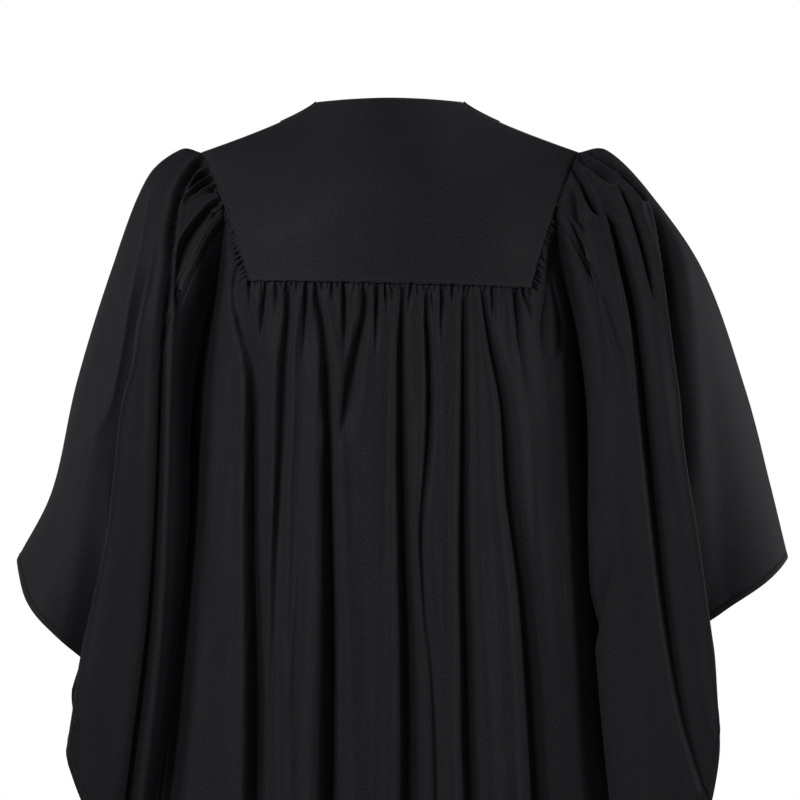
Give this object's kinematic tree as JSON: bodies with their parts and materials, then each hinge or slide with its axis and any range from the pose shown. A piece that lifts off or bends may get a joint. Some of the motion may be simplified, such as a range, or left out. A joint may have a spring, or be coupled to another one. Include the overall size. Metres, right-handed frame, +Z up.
{
  "type": "graduation gown",
  "caption": "Black open-fronted graduation gown with a smooth back yoke, a gathered full back and wide open sleeves, hanging as worn.",
  "frame": {"origin": "middle of the neck opening, level with the two neck corners where the gown hangs from the wearer's shoulders", "axes": "+Z up, +Y towards the wearer's front, +X towards the wearer's right; the back yoke faces -Y"},
  "size_m": [0.877, 0.3952, 1.1943],
  "materials": {
    "gown_cloth": "fine matte weave with a slight sheen"
  },
  "bodies": {
    "root": {"back_yoke": "gown_cloth", "back_panel": "gown_cloth", "front_left": "gown_cloth", "front_right": "gown_cloth", "band_left": "gown_cloth", "band_right": "gown_cloth", "sleeve_left": "gown_cloth", "sleeve_right": "gown_cloth"}
  },
  "joints": []
}
